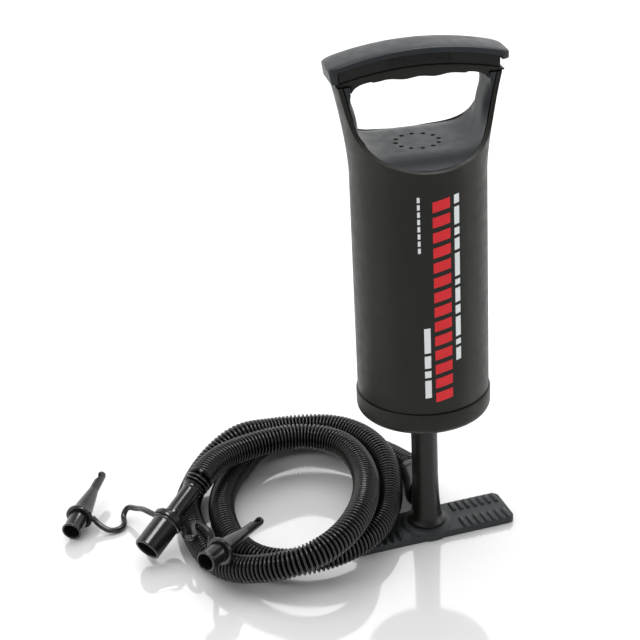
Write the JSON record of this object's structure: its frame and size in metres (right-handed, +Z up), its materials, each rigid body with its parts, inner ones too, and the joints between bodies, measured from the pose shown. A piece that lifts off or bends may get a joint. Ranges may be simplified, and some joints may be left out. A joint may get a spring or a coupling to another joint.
{
  "type": "double action hand pump",
  "caption": "Upright air pump: a barrel with a D handle slides on a fixed hollow rod over a flat foot, with a ribbed hose and tethered nozzles.",
  "frame": {"origin": "on the floor at the rod's axis, at the middle of the foot's underside", "axes": "+Z up along the rod and barrel, +X along the foot's two pads, +Y towards the hose port"},
  "size_m": [0.3124, 0.2114, 0.3607],
  "materials": {
    "charcoal_plastic": "satin",
    "grey_plastic": "satin",
    "dark_grip_plastic": "matte",
    "gloss_black_vinyl": "gloss",
    "black_rubber": "matte",
    "natural_nylon": "satin",
    "zinc_steel": "satin"
  },
  "bodies": {
    "stand": {"foot_base": "grey_plastic", "column_tube": "charcoal_plastic", "base_screw_1": "zinc_steel", "base_screw_2": "zinc_steel", "base_screw_3": "zinc_steel", "base_screw_4": "zinc_steel", "port_seal_ring": "black_rubber", "pump_end_cuff": "gloss_black_vinyl", "hose_tube": "gloss_black_vinyl", "nozzle_end_cuff": "gloss_black_vinyl", "main_nozzle": "gloss_black_vinyl", "small_nozzle_left": "gloss_black_vinyl", "small_nozzle_right": "gloss_black_vinyl", "tether_strap": "gloss_black_vinyl", "piston_lower_plate": "natural_nylon", "piston_upper_plate": "natural_nylon", "piston_seal": "black_rubber", "piston_screw_1": "zinc_steel", "piston_screw_2": "zinc_steel", "piston_screw_3": "zinc_steel"},
    "gland": {"rod_seal": "black_rubber"},
    "barrel": {"barrel_shell": "charcoal_plastic", "top_cover": "grey_plastic", "grip_lower": "grey_plastic", "grip_band": "dark_grip_plastic", "grip_cover": "grey_plastic", "grip_screw_1": "zinc_steel", "grip_screw_2": "zinc_steel", "end_cap": "charcoal_plastic", "cap_seal_ring": "black_rubber", "rod_guide_bush": "natural_nylon", "gland_retainer": "natural_nylon", "bottom_valve_guard": "natural_nylon", "top_cover_seal": "black_rubber", "top_valve_pin": "natural_nylon"},
    "top_intake": {"top_intake_flap": "black_rubber"},
    "bottom_intake": {"bottom_intake_flap": "black_rubber"},
    "lower_delivery": {"lower_delivery_flap": "black_rubber"},
    "upper_delivery": {"upper_delivery_flap": "black_rubber"}
  },
  "joints": [
    {"name": "pump_stroke", "type": "slide", "parent": "stand", "child": "gland", "axis": [0, 0, 1], "range_m": [-0.058, 0.0845]},
    {"name": "barrel_spin", "type": "hinge", "parent": "gland", "child": "barrel", "pos_m": [0, 0, 0.11], "axis": [0, 0, 1], "continuous": true},
    {"name": "top_intake_lift", "type": "slide", "parent": "barrel", "child": "top_intake", "axis": [0, 0, -1], "range_m": [0, 0.0015], "stiffness_N_per_m": 60, "springref_m": -0.002},
    {"name": "bottom_intake_lift", "type": "slide", "parent": "barrel", "child": "bottom_intake", "axis": [0, 0, 1], "range_m": [0, 0.0018], "stiffness_N_per_m": 60, "springref_m": -0.002},
    {"name": "lower_delivery_lift", "type": "slide", "parent": "stand", "child": "lower_delivery", "axis": [0, 0, 1], "range_m": [0, 0.001], "stiffness_N_per_m": 60, "springref_m": -0.002},
    {"name": "upper_delivery_lift", "type": "slide", "parent": "stand", "child": "upper_delivery", "axis": [0, 0, -1], "range_m": [0, 0.001], "stiffness_N_per_m": 60, "springref_m": -0.002}
  ]
}
